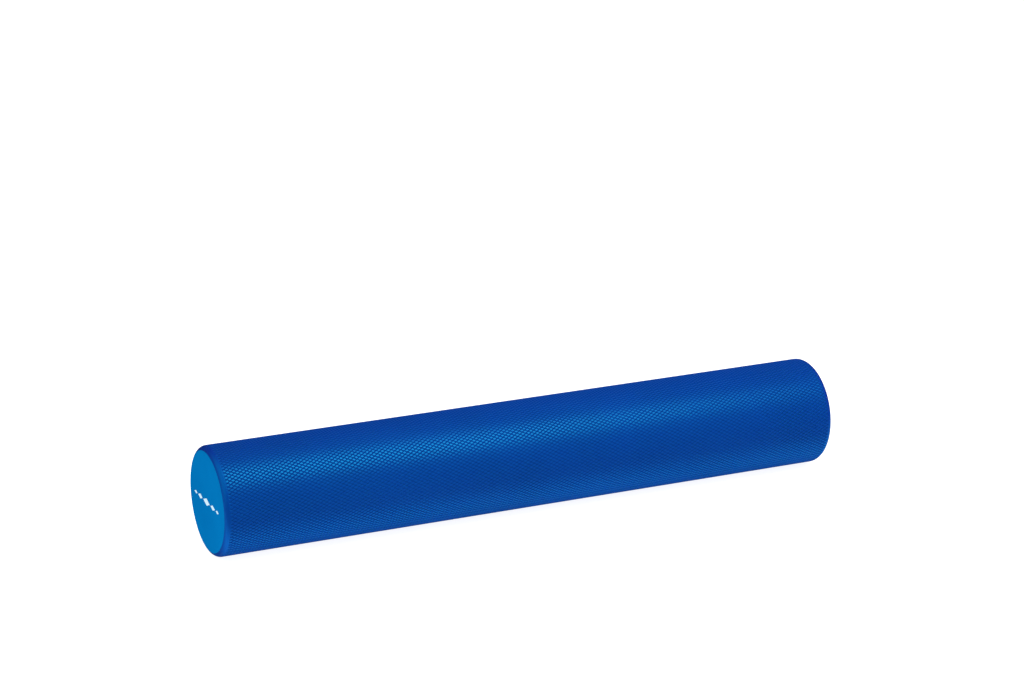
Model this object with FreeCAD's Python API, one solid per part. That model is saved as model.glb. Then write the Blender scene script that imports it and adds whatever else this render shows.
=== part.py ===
import FreeCAD
import Part

import os

# A long closed-cell foam roller lying on its side.
# The roller's axis runs along +X at one radius above Z = 0. The origin is below its middle, where it rests.
# All sizes are in millimetres.

LENGTH = 912.0
DIAMETER = 150.0
RIM_RADIUS = 10.0          # round-over of the shoulder at each end
SLEEVE_THICKNESS = 6.0
DISC_THICKNESS = 8.0
PLANK_THICKNESS = 28.0

# The print: a row of five rhombi across each end face, largest in the middle.
PRINT_DEPTH = 0.3
PRINT_GAP = 3.0
PRINT_WIDTHS = [12.0, 18.0, 26.0, 18.0, 12.0]
PRINT_ASPECT = 0.4         # height of a rhombus over its width

RADIUS = DIAMETER / 2
CORE_RADIUS = RADIUS - SLEEVE_THICKNESS
CORE_LENGTH = LENGTH - 2 * DISC_THICKNESS
HALF_LENGTH = LENGTH / 2
PLANK_NAMES = ["bottom", "lower", "middle", "upper", "top"]

X_AXIS = FreeCAD.Vector(1, 0, 0)


def rod(radius, x_start, x_end):
    """A plain round bar on the roller's axis between two X positions."""
    start = FreeCAD.Vector(x_start, 0, RADIUS)
    return Part.makeCylinder(radius, x_end - x_start, start, X_AXIS)


def envelope():
    """The whole roller as one bar with both shoulders rounded over."""
    bar = rod(RADIUS, -HALF_LENGTH, HALF_LENGTH)
    rims = [edge for edge in bar.Edges if edge.Closed]
    return bar.makeFillet(RIM_RADIUS, rims)


def core_plank(index):
    """One flat plank of the core, trimmed to the core's round outline."""
    middle = (len(PLANK_NAMES) - 1) / 2
    z_low = RADIUS + (index - middle - 0.5) * PLANK_THICKNESS
    corner = FreeCAD.Vector(-HALF_LENGTH, -RADIUS, z_low)
    slab = Part.makeBox(LENGTH, DIAMETER, PLANK_THICKNESS, corner)
    return slab.common(rod(CORE_RADIUS, -CORE_LENGTH / 2, CORE_LENGTH / 2))


def outer_sleeve():
    """The tube of sheet foam round the core and both discs, with rounded rims."""
    return envelope().cut(rod(CORE_RADIUS, -LENGTH, LENGTH))


def rhombus(y_middle, width, x_face, x_inside):
    """One flat rhombus of print, from the end face to its depth inside the disc."""
    half_width = width / 2
    half_height = width * PRINT_ASPECT / 2
    corners = [(y_middle - half_width, RADIUS), (y_middle, RADIUS - half_height),
               (y_middle + half_width, RADIUS), (y_middle, RADIUS + half_height)]
    points = [FreeCAD.Vector(x_face, y, z) for y, z in corners]
    outline = Part.Face(Part.makePolygon(points + points[:1]))
    return outline.extrude(FreeCAD.Vector(x_inside - x_face, 0, 0))


def end_print(side):
    """The print on one end face; side is -1 for the left end and +1 for the right end."""
    x_face = side * HALF_LENGTH
    x_inside = x_face - side * PRINT_DEPTH
    y_left = -(sum(PRINT_WIDTHS) + PRINT_GAP * (len(PRINT_WIDTHS) - 1)) / 2
    marks = []
    for width in PRINT_WIDTHS:
        marks.append(rhombus(y_left + width / 2, width, x_face, x_inside))
        y_left += width + PRINT_GAP
    return Part.makeCompound(marks)


def end_disc(side):
    """The smooth disc at one end, with a shallow pocket where the print is pressed in."""
    x_outer = side * HALF_LENGTH
    x_inner = side * CORE_LENGTH / 2
    blank = rod(CORE_RADIUS, min(x_outer, x_inner), max(x_outer, x_inner))
    return blank.common(envelope()).cut(end_print(side))


def build():
    """Every piece of the roller by the name of its node."""
    pieces = {"core_plank_" + name: core_plank(index) for index, name in enumerate(PLANK_NAMES)}
    pieces["outer_sleeve"] = outer_sleeve()
    for name, side in (("left", -1), ("right", 1)):
        pieces["end_disc_" + name] = end_disc(side)
        pieces["end_print_" + name] = end_print(side)
    return pieces


os.makedirs("parts", exist_ok=True)
for node, shape in build().items():
    shape.exportStep(os.path.join("parts", node + ".step"))
    print(f"{node}: {len(shape.Solids)} solid(s), {shape.Volume / 1000:.1f} cm3")
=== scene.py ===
import math

import bpy
import numpy as np
from mathutils import Matrix, Vector


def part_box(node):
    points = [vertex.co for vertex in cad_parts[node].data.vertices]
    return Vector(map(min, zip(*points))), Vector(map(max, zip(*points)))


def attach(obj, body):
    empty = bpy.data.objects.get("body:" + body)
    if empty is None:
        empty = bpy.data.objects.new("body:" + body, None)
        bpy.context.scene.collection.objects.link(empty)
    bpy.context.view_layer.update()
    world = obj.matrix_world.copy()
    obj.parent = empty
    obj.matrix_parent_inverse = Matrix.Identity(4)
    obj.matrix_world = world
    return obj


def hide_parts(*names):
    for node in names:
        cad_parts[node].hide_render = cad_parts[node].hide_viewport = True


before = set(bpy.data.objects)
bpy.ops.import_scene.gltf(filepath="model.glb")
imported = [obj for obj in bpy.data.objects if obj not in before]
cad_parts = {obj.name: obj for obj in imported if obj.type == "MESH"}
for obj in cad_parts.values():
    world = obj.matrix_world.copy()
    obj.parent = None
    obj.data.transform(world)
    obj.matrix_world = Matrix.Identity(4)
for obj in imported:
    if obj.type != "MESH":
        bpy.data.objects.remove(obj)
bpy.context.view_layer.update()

# A long embossed foam roller on a white floor. Lengths are in metres.

# ---------------------------------------------------------------- sizes read from the frame
BODY = "root"
SLEEVE_LOW, SLEEVE_HIGH = (Vector(corner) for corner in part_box("outer_sleeve"))
DISC_LOW, DISC_HIGH = (Vector(corner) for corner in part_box("end_disc_left"))
RADIUS = round((SLEEVE_HIGH.z - SLEEVE_LOW.z) / 2, 4)
CORE_RADIUS = round((DISC_HIGH.z - DISC_LOW.z) / 2, 4)
HALF_LENGTH = round(-DISC_LOW.x, 4)
DISC_THICKNESS = round(DISC_HIGH.x - DISC_LOW.x, 4)
CENTRE = Vector((0, 0, RADIUS))

# ---------------------------------------------------------------- sizes of the finer shapes
RIM_RADIUS = 0.010
BARREL_HALF = HALF_LENGTH - RIM_RADIUS      # half the straight part between the rounded rims
FLAT_RADIUS = RADIUS - RIM_RADIUS           # radius of the flat on each end

# The embossing is a lattice of rhombi with nearly flat tops. Each rhombus is a grid of STEPS x STEPS small
# faces: the outer ones are the walls of the grooves, and the inner ones are its top.
STEPS = 4
STEP_PLACES = np.array([0, 0.20, 0.5, 0.80])    # where the grid lines are, as shares of the rhombus
STEP_HEIGHTS = np.array([0, 0.97, 1, 0.97])     # and how high they stand, as shares of the relief
RHOMBI_ROUND = 94                           # rhombi side by side round the barrel
RHOMBUS_HALF_LENGTH = 0.00425               # along the barrel, from a rhombus's middle to its tip
FIRST_COLUMN_INSET = 0.0005                 # the first column's middle, beyond the barrel's straight part
TWIST = 0.28                                # how the rows turn round the barrel, in radians per metre
RELIEF = 0.00050                            # depth of the grooves below the tops of the rhombi
RELIEF_STARTS = 0.0022                      # how far the grooves run onto the rounded rim
RELIEF_FADE = 0.0009                        # over this much length the grooves run out
RELIEF_SPREAD = 0.10                        # how much the depth differs from place to place, as a share

SEAM_ANGLE = math.radians(205)              # where the sleeve's sheet closes, behind and below
SEAM_HALF_WIDTH = 0.0009                    # measured round the barrel
SEAM_DEPTH = 0.0004

EDGE_GROOVE = 0.00015                       # half the width of the fine V between the sleeve and each disc
EDGE_GROOVE_DEPTH = 1.5 * EDGE_GROOVE
FLAT_RINGS = (0.012, 0.026, 0.040, 0.052, 0.060)    # radii of the mesh rings on each flat end
SHARP_ANGLE = math.radians(18)              # folds over this stay crisp, such as the edges of the rhombi

PRINT_HEIGHT = 0.00012                      # how far the print stands off the disc
PRINT_SUNK = 0.00010                        # how far its underside goes into the disc
PRINT_WIDTHS = [0.012, 0.018, 0.026, 0.018, 0.012]
PRINT_GAP = 0.003
PRINT_ASPECT = 0.4
PRINT_CORNER = 0.0006

# ---------------------------------------------------------------- camera and light
CAMERA_AZIMUTH = math.radians(-24.5)
CAMERA_ELEVATION = math.radians(17.6)
CAMERA_DISTANCE = 4.1
CAMERA_LENS = 104.2
AIM_ABOVE = 0.155                           # the camera aims this far above the roller's middle
AIM_LEFT = 0.011

KEY_START, KEY_END = (-0.45, -0.62, 1.59), (1.04, -0.87, 1.46)
KEY_WIDTH = 0.90
KEY_POWER = 23.2

WORLD_LIGHT = 0.91                          # even light from all round
WORLD_REFLECTED = 0.08                      # how bright the same studio is in reflections
PANEL_REFLECTED = (0.01, 1.22, 1.08)        # the colour there of a pale panel, high on the left
PANEL_WAY = (-0.72, -0.10, 0.69)            # the way to the panel's middle
PANEL_EDGE = (0.70, 0.91)                   # its soft edge, as the cosines of about 45 and 25 degrees
FLOOR_HALF = 60.0
FLOOR_SHADE = 0.45                          # the share of light that the floor throws back
FLOOR_BOUNCED = 0.88                        # the floor is a lit table: its glow on the roller from below
FLOOR_SEEN = 0.90                           # its glow to the eye
# under the roller the glow in reflections is kept dim as painted shade, where the roller would shade the
# floor
FLOOR_REFLECTED = (0.2, 1.9, 0.02)          # its glow in reflections: under the roller, beside it, far off
UNDER_ROLLER = (0.030, 0.065)               # from the roller's axis, where under becomes beside
FAR_OFF = (0.078, 0.155)                    # where beside becomes far off
REFLECTION_TINT = (0.01, 0.62, 1.0)         # the studio is blue in reflections
WHITE = (1, 1, 1)


def direction(azimuth, elevation):
    """The way from the roller towards a place seen at this azimuth and elevation."""
    across = math.cos(elevation)
    return Vector((math.sin(azimuth) * across, -math.cos(azimuth) * across, math.sin(elevation)))


def add_camera():
    """The camera at the photograph's viewing angle."""
    back = direction(CAMERA_AZIMUTH, CAMERA_ELEVATION)
    right = Vector((math.cos(CAMERA_AZIMUTH), math.sin(CAMERA_AZIMUTH), 0))
    up = back.cross(right)
    data = bpy.data.cameras.new("camera")
    data.lens = CAMERA_LENS
    data.sensor_width = 36
    data.clip_start, data.clip_end = 0.05, 200
    camera = bpy.data.objects.new("camera", data)
    camera.location = CENTRE + back * CAMERA_DISTANCE + up * AIM_ABOVE - right * AIM_LEFT
    camera.rotation_mode = "QUATERNION"
    camera.rotation_quaternion = (-back).to_track_quat("-Z", "Y")
    bpy.context.scene.collection.objects.link(camera)
    bpy.context.scene.camera = camera


def add_softbox(name, start, end, width, power):
    """A long studio light from one place to another, turned towards the roller's axis."""
    start, end = Vector(start), Vector(end)
    middle = (start + end) / 2
    along = (end - start).normalized()
    away = middle - Vector((middle.x, 0, RADIUS))
    across = away.cross(along).normalized()
    data = bpy.data.lights.new(name, "AREA")
    data.shape = "RECTANGLE"
    data.size, data.size_y = (end - start).length, width
    data.energy = power
    light = bpy.data.objects.new(name, data)
    light.location = middle
    light.rotation_mode = "QUATERNION"
    light.rotation_quaternion = Matrix((along, across, along.cross(across))).transposed().to_quaternion()
    bpy.context.scene.collection.objects.link(light)


# ---------------------------------------------------------------- node helpers
class Nodes:
    """A small helper that adds and joins the nodes of one material or world."""

    def __init__(self, owner):
        self.owner = owner
        owner.use_nodes = True
        self.tree = owner.node_tree
        self.tree.nodes.clear()

    def add(self, kind, inputs=None, **settings):
        """A new node with these settings, and each input set to a value or joined to another's output."""
        node = self.tree.nodes.new(kind)
        for key, value in settings.items():
            setattr(node, key, value)
        for key, value in (inputs or {}).items():
            if isinstance(value, bpy.types.NodeSocket):
                self.tree.links.new(value, node.inputs[key])
            else:
                node.inputs[key].default_value = value
        return node

    def place(self):
        """The place on the object, in metres."""
        return self.add("ShaderNodeTexCoord").outputs["Object"]

    def noise(self, place, scale, detail):
        inputs = {"Vector": place, "Scale": scale, "Detail": detail}
        return self.add("ShaderNodeTexNoise", inputs).outputs["Fac"]

    def span(self, value, from_low, from_high, to_low, to_high):
        """A value carried over from one range to another, and held within it."""
        inputs = {"Value": value, "From Min": from_low, "From Max": from_high}
        inputs |= {"To Min": to_low, "To Max": to_high}
        return self.add("ShaderNodeMapRange", inputs).outputs["Result"]

    def mix(self, share, first, second):
        """A colour between the first, where the share is 0, and the second, where it is 1."""
        node = self.add("ShaderNodeMix", data_type="RGBA")
        for key, value in (("Factor", share), ("A", first), ("B", second)):
            socket = next(s for s in node.inputs if s.name == key and s.enabled)
            if isinstance(value, bpy.types.NodeSocket):
                self.tree.links.new(value, socket)
            else:
                socket.default_value = value
        return next(s for s in node.outputs if s.enabled)

    def bump(self, height, strength, distance):
        inputs = {"Height": height, "Strength": strength, "Distance": distance}
        return self.add("ShaderNodeBump", inputs).outputs["Normal"]

    def finish(self, inputs):
        """The material, with one Principled shader that takes these inputs."""
        shader = self.add("ShaderNodeBsdfPrincipled", inputs)
        self.add("ShaderNodeOutputMaterial", {"Surface": shader.outputs[0]})
        return self.owner


def scaled(colour, level):
    """A colour for a node socket, at this brightness."""
    return (*(level * part for part in colour), 1)


# ---------------------------------------------------------------- materials
def sleeve_material():
    """Dark blue satin skin of closed-cell foam, with painted shade that makes it a little darker down in
    the embossed grooves.
    """
    n = Nodes(bpy.data.materials.new("sleeve_skin"))
    place = n.place()
    relief = n.add("ShaderNodeAttribute", attribute_name="relief").outputs["Fac"]
    # painted shade: the grooves get a darker base colour than the tops, standing in for the shade that
    # falls in them
    groove, top = (0.0003, 0.0006, 0.090, 1), (0.0005, 0.0045, 0.232, 1)
    plain = n.mix(n.span(relief, 0.1, 0.8, 0, 1), groove, top)
    clouds = n.noise(place, scale=14, detail=3)
    clouded = n.mix(n.span(clouds, 0.35, 0.65, 0, 0.25), plain, (0.0006, 0.0058, 0.242, 1))
    grain = n.noise(place, scale=1400, detail=2)
    colour = n.mix(n.span(grain, 0.45, 0.75, 0, 0.22), clouded, (0.0008, 0.0072, 0.254, 1))
    rough = n.span(relief, 0.6, 0.97, 1.0, 0.43)
    fine = n.bump(grain, strength=0.15, distance=0.00003)
    return n.finish({
        "Base Color": colour, "Roughness": rough, "Normal": fine,
        "IOR": 1.8, "Specular IOR Level": 1.0, "Specular Tint": (0.01, 0.54, 0.85, 1)})


def disc_material():
    """Light blue smooth skin of closed-cell foam."""
    n = Nodes(bpy.data.materials.new("disc_skin"))
    place = n.place()
    clouds = n.noise(place, scale=14, detail=2)
    cloudy = n.mix(n.span(clouds, 0.3, 0.7, 0, 1), (0.0006, 0.140, 0.398, 1), (0.0008, 0.162, 0.440, 1))
    grain = n.noise(place, scale=1800, detail=2)
    colour = n.mix(n.span(grain, 0.45, 0.75, 0, 0.25), cloudy, (0.0015, 0.180, 0.472, 1))
    rough = n.span(n.noise(place, scale=90, detail=4), 0.3, 0.7, 0.50, 0.58)
    fine = n.bump(grain, strength=0.2, distance=0.00004)
    return n.finish({"Base Color": colour, "Roughness": rough, "Normal": fine, "Specular IOR Level": 0.0})


def print_material():
    """Pale heat-pressed print with a faint speckle where the foam shows through."""
    n = Nodes(bpy.data.materials.new("pale_print"))
    place = n.place()
    speckle = n.span(n.noise(place, scale=2200, detail=3), 0.62, 0.78, 0, 0.35)
    colour = n.mix(speckle, (0.62, 0.82, 0.93, 1), (0.10, 0.38, 0.66, 1))
    rough = n.span(n.noise(place, scale=300, detail=2), 0.3, 0.7, 0.5, 0.6)
    return n.finish({"Base Color": colour, "Roughness": rough, "Specular IOR Level": 0.4})


def core_material(name, shade):
    """Cut closed-cell foam, with its fine open cells; shade tells one plank's batch from the next."""
    n = Nodes(bpy.data.materials.new(name))
    place = n.place()
    cells = n.add("ShaderNodeTexVoronoi", {"Vector": place, "Scale": 900}).outputs["Distance"]
    wall = n.span(cells, 0.2, 0.7, 0, 1)
    colour = n.mix(wall, scaled((0.004, 0.06, 0.28), shade), scaled((0.010, 0.13, 0.46), shade))
    rough = n.span(n.noise(place, scale=400, detail=2), 0.3, 0.7, 0.75, 0.9)
    pitted = n.bump(cells, strength=0.6, distance=0.0003)
    return n.finish({"Base Color": colour, "Roughness": rough, "Normal": pitted})


def floor_material():
    """A plain white lit table, bright enough to wash out all but the closest shadow."""
    n = Nodes(bpy.data.materials.new("white_floor"))
    place = n.place()
    across = n.add("ShaderNodeVectorMath", {0: place, 1: (0, 1, 0)}, operation="MULTIPLY").outputs[0]
    away = n.add("ShaderNodeVectorMath", {0: across}, operation="LENGTH").outputs["Value"]
    # painted shade: in reflections the floor glows dimly under the roller, standing in for the roller's
    # shadow on it
    painted_shade_under, beside, far = (scaled(REFLECTION_TINT, level) for level in FLOOR_REFLECTED)
    nearby = n.mix(n.span(away, *UNDER_ROLLER, 0, 1), painted_shade_under, beside)
    reflected = n.mix(n.span(away, *FAR_OFF, 0, 1), nearby, far)
    path = n.add("ShaderNodeLightPath").outputs
    shade = n.mix(path["Is Glossy Ray"], scaled(WHITE, FLOOR_SHADE), (0, 0, 0, 1))
    glow = n.mix(path["Is Glossy Ray"], scaled(WHITE, FLOOR_BOUNCED), reflected)
    seen = n.mix(path["Is Camera Ray"], glow, scaled(WHITE, FLOOR_SEEN))
    return n.finish({
        "Base Color": shade, "Emission Color": seen, "Emission Strength": 1.0,
        "Roughness": 0.8, "Specular IOR Level": 0.0})


# ---------------------------------------------------------------- the sleeve
def along_profile(s):
    """Place and outward normal of the skin's outline at s metres past the start of the left rim.

    The outline runs up the left rim (s < 0), along the straight barrel and down the right rim.
    Returns X, the radius, and the normal's parts along X and outwards.
    """
    length = 2 * BARREL_HALF
    over_left = np.clip(-s, 0, None) / RIM_RADIUS
    over_right = np.clip(s - length, 0, None) / RIM_RADIUS
    turn = over_right - over_left
    x = -BARREL_HALF + np.clip(s, 0, length) + RIM_RADIUS * np.sin(turn)
    radius = FLAT_RADIUS + RIM_RADIUS * np.cos(turn)
    return x, radius, np.sin(turn), np.cos(turn)


def smooth_step(value):
    """0 up to 0 and 1 from 1 on, with a smooth rise between them."""
    value = np.clip(value, 0, 1)
    return value * value * (3 - 2 * value)


def waves(across, along, seed, count, longest):
    """A smooth seeded field of sines, mostly between -1 and 1, which repeats round the barrel."""
    random = np.random.default_rng(seed)
    total = np.zeros_like(along)
    for _ in range(count):
        turns = random.integers(0, 7)
        length = longest * random.uniform(0.3, 1)
        total += np.sin(turns * across + along * 2 * math.pi / length + random.uniform(0, 2 * math.pi))
    return total / math.sqrt(count)


def embossed_skin():
    """The lattice of rhombi: its points, faces, heights from 0 in a groove to 1 on top, and two end rings.

    Points stand on the crossings of two families of slanting lines, so that every groove follows
    mesh edges. Column c holds every second place round the barrel, and odd columns are shifted by one.
    """
    columns_of_rhombi = round((2 * BARREL_HALF + 2 * FIRST_COLUMN_INSET) / RHOMBUS_HALF_LENGTH) + 1
    pitch = (2 * BARREL_HALF + 2 * FIRST_COLUMN_INSET) / (columns_of_rhombi - 1)
    last = STEPS * (columns_of_rhombi + 1)
    ring = RHOMBI_ROUND * STEPS
    column, place = np.meshgrid(np.arange(last + 1), np.arange(ring), indexing="ij")
    turn = 2 * place + column % 2
    lines = [(column + turn) // 2, (column - turn) // 2]
    first, second = (line // STEPS + STEP_PLACES[line % STEPS] for line in lines)
    height = STEP_HEIGHTS[lines[0] % STEPS] * STEP_HEIGHTS[lines[1] % STEPS]
    s = (first + second - 1) * pitch - FIRST_COLUMN_INSET
    angle = (first - second) * (math.pi / RHOMBI_ROUND) + TWIST * (s - BARREL_HALF)

    from_end = RELIEF_STARTS - np.maximum(-s, s - 2 * BARREL_HALF)
    reach = smooth_step(from_end / RELIEF_FADE)
    unevenness = RELIEF_SPREAD * waves(angle, s, seed=3, count=9, longest=0.5)
    depth = RELIEF * (1 + unevenness) * (1 - height) * reach

    beside_seam = np.abs((angle - SEAM_ANGLE + math.pi) % (2 * math.pi) - math.pi) * RADIUS
    seam_fade = smooth_step((from_end + RIM_RADIUS) / RIM_RADIUS)
    seam = np.clip(1 - beside_seam / SEAM_HALF_WIDTH, 0, 1) * seam_fade
    depth = np.maximum(depth, SEAM_DEPTH * seam)

    x, radius, normal_x, normal_out = along_profile(s)
    x = x - depth * normal_x
    radius = radius - depth * normal_out
    points = np.stack([x, -radius * np.cos(angle), RADIUS + radius * np.sin(angle)], -1)

    number = column * ring + place
    after = np.roll(number, -1, axis=1)
    before = np.roll(number, 1, axis=1)
    odd, even = slice(1, last, 2), slice(2, last, 2)
    # each small face joins a place to the same place two columns on, by the two places between them
    quads = [
        np.stack([number[0:last - 1:2], before[odd], number[2:last + 1:2], number[odd]], -1),
        np.stack([number[1:last - 1:2], number[even], number[3:last + 1:2], after[even]], -1),
    ]
    quads = np.concatenate([q.reshape(-1, 4) for q in quads])
    left = np.stack([number[0], number[1], after[0]], -1)
    right = np.stack([number[last], after[last], number[last - 1]], -1)
    faces = quads.tolist() + left.tolist() + right.tolist()
    ends = number[0], number[last], s[last, 0]
    return points.reshape(-1, 3), faces, (1 - depth / RELIEF).ravel(), ends


def ring_points(x, radius, angles):
    """The points at these angles round the roller's axis, on one circle at X."""
    y, z = -radius * np.cos(angles), RADIUS + radius * np.sin(angles)
    return np.stack([np.full_like(angles, x), y, z], -1)


def bands(loops):
    """The faces that join each ring of points to the next."""
    faces = []
    for near, far in zip(loops, loops[1:]):
        faces += np.stack([near, far, np.roll(far, -1), np.roll(near, -1)], -1).tolist()
    return faces


def add_mesh(name, points, faces, material):
    """A smooth-shaded piece that rides on the roller's one body."""
    mesh = bpy.data.meshes.new(name)
    mesh.from_pydata(points.tolist(), [], faces)
    mesh.validate()
    mesh.shade_smooth()
    mesh.set_sharp_from_angle(angle=SHARP_ANGLE)
    mesh.materials.append(material)
    piece = bpy.data.objects.new(name, mesh)
    bpy.context.scene.collection.objects.link(piece)
    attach(piece, BODY)
    return piece


def add_sleeve():
    """The embossed sleeve: its skin, both rounded rims, and the plain bore that the core fills."""
    points, faces, height, (left_ring, right_ring, s_right) = embossed_skin()
    ring = len(left_ring)
    angles = np.arange(ring) * (2 * math.pi / ring)
    end_twist = TWIST * (s_right - BARREL_HALF)
    rim_end = math.acos((CORE_RADIUS + EDGE_GROOVE - FLAT_RADIUS) / RIM_RADIUS) * RIM_RADIUS
    start = s_right - 2 * BARREL_HALF
    rim_steps = 10
    rings = []
    for step in range(1, rim_steps + 1):
        over = start + (rim_end - start) * step / rim_steps
        x, radius, _, _ = along_profile(np.array(2 * BARREL_HALF + over))
        rings.append((float(x), float(radius)))
    rings.append((rings[-1][0] - EDGE_GROOVE_DEPTH, CORE_RADIUS))
    profile = rings + [(-x, radius) for x, radius in reversed(rings)]

    count = len(points)
    extra = [ring_points(x, radius, angles + math.copysign(end_twist, x)) for x, radius in profile]
    loops = [right_ring] + [count + ring * i + np.arange(ring) for i in range(len(profile))] + [left_ring]
    points = np.concatenate([points] + extra)
    sleeve = add_mesh("sleeve", points, faces + bands(loops), sleeve_material())
    relief = sleeve.data.attributes.new("relief", "FLOAT", "POINT")
    values = np.ones(len(points), np.float32)
    values[:count] = np.clip(height, 0, 1)
    relief.data.foreach_set("value", values)
    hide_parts("outer_sleeve")


# ---------------------------------------------------------------- the end discs and their print
def add_disc(name, side, material):
    """One light disc: flat, rounded over where it meets the rim, with a fine V at its edge."""
    segments = 256
    angles = np.arange(segments) * (2 * math.pi / segments)
    edge_turn = math.asin((CORE_RADIUS - EDGE_GROOVE - FLAT_RADIUS) / RIM_RADIUS)
    profile = [(0.0, radius) for radius in (*FLAT_RINGS, FLAT_RADIUS)]
    arc_steps = 6
    for step in range(1, arc_steps + 1):
        turn = edge_turn * step / arc_steps
        profile.append((RIM_RADIUS * (1 - math.cos(turn)), FLAT_RADIUS + RIM_RADIUS * math.sin(turn)))
    profile.append((profile[-1][0] + EDGE_GROOVE_DEPTH, CORE_RADIUS))
    profile.append((DISC_THICKNESS, CORE_RADIUS))
    rings = [ring_points(side * (HALF_LENGTH - inset), radius, angles) for inset, radius in profile]
    hub_out = np.array([[side * HALF_LENGTH, 0, RADIUS]])
    hub_in = np.array([[side * (HALF_LENGTH - DISC_THICKNESS), 0, RADIUS]])
    points = np.concatenate(rings + [hub_out, hub_in])
    loops = [segments * i + np.arange(segments) for i in range(len(profile))]
    outer, inner = len(points) - 2, len(points) - 1
    faces = [[outer, int(a), int(b)] for a, b in zip(loops[0], np.roll(loops[0], -1))]
    faces += [[inner, int(b), int(a)] for a, b in zip(loops[-1], np.roll(loops[-1], -1))]
    faces += bands(loops)
    if side > 0:        # so far the faces point outwards on the left end
        faces = [face[::-1] for face in faces]
    disc = add_mesh(name, points, faces, material)
    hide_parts("end_" + name)


def rounded_rhombus(y_middle, width):
    """The outline of one rhombus with small round corners, as (y, z) pairs in order."""
    half_width, half_height = width / 2, width * PRINT_ASPECT / 2
    tips = ((half_width, 0), (0, half_height), (-half_width, 0), (0, -half_height))
    corners = [Vector(tip) for tip in tips]
    corner_steps = 4
    outline = []
    for index, corner in enumerate(corners):
        before = (corners[index - 1] - corner).normalized() * PRINT_CORNER
        after = (corners[(index + 1) % 4] - corner).normalized() * PRINT_CORNER
        for step in range(corner_steps + 1):
            t = step / corner_steps
            bend = corner + before * (1 - t) ** 2 + after * t ** 2
            outline.append((y_middle + bend.x, RADIUS + bend.y))
    return outline


def add_print(name, side, material):
    """The row of rhombi printed across one end, each a thin closed plate sunk a little into the disc."""
    points, faces = [], []
    top_x, base_x = side * (HALF_LENGTH + PRINT_HEIGHT), side * (HALF_LENGTH - PRINT_SUNK)
    y_left = -(sum(PRINT_WIDTHS) + PRINT_GAP * (len(PRINT_WIDTHS) - 1)) / 2
    for width in PRINT_WIDTHS:
        outline = rounded_rhombus(y_left + width / 2, width)
        first, count = len(points), len(outline)
        points += [(top_x, y, z) for y, z in outline] + [(base_x, y, z) for y, z in outline]
        top = list(range(first, first + count))
        base = [i + count for i in top]
        plate = [top, base[::-1]]
        for i in range(count):
            j = (i + 1) % count
            plate.append([top[i], base[i], base[j], top[j]])
        faces += [face[::-1] for face in plate] if side < 0 else plate
        y_left += width + PRINT_GAP
    piece = add_mesh(name, np.array(points), faces, material)
    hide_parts("end_" + name)


# ---------------------------------------------------------------- the hidden core
def paint_core():
    """Each core plank keeps its CAD shape and gets the look of cut foam."""
    shades = {"bottom": 0.92, "lower": 1.05, "middle": 0.98, "upper": 1.08, "top": 0.95}
    for name, shade in shades.items():
        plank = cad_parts["core_plank_" + name]
        material = core_material("core_foam_" + name, shade)
        plank.data.materials.clear()
        plank.data.materials.append(material)


# ---------------------------------------------------------------- the studio
def add_floor():
    """A wide plain floor."""
    points = [(FLOOR_HALF * x, FLOOR_HALF * y, 0) for x, y in ((-1, -1), (1, -1), (1, 1), (-1, 1))]
    mesh = bpy.data.meshes.new("floor")
    mesh.from_pydata(points, [], [(0, 1, 2, 3)])
    mesh.materials.append(floor_material())
    floor = bpy.data.objects.new("floor", mesh)
    bpy.context.scene.collection.objects.link(floor)


def add_world():
    """White to look at, an even light on matt surfaces, and in reflections dim but for one pale panel."""
    world = bpy.data.worlds.new("studio")
    bpy.context.scene.world = world
    world.cycles.sampling_method = "NONE"       # so that it knows which rays are reflections
    n = Nodes(world)
    path = n.add("ShaderNodeLightPath").outputs
    toward = n.add("ShaderNodeTexCoord").outputs["Generated"]
    nearness = n.add("ShaderNodeVectorMath", {0: toward, 1: PANEL_WAY}, operation="DOT_PRODUCT")
    around, panel = scaled(REFLECTION_TINT, WORLD_REFLECTED), scaled(PANEL_REFLECTED, 1)
    reflected = n.mix(n.span(nearness.outputs["Value"], *PANEL_EDGE, 0, 1), around, panel)
    light = n.mix(path["Is Glossy Ray"], scaled(WHITE, WORLD_LIGHT), reflected)
    seen = n.mix(path["Is Camera Ray"], light, scaled(WHITE, 1))
    background = n.add("ShaderNodeBackground", {"Color": seen})
    n.add("ShaderNodeOutputWorld", {"Surface": background.outputs[0]})


add_camera()
add_floor()
add_world()
add_softbox("key", KEY_START, KEY_END, KEY_WIDTH, KEY_POWER)

add_sleeve()
disc_skin, pale_print = disc_material(), print_material()
for end, side in (("left", -1), ("right", 1)):
    add_disc("disc_" + end, side, disc_skin)
    add_print("print_" + end, side, pale_print)
paint_core()

bpy.context.scene.view_settings.view_transform = "Standard"
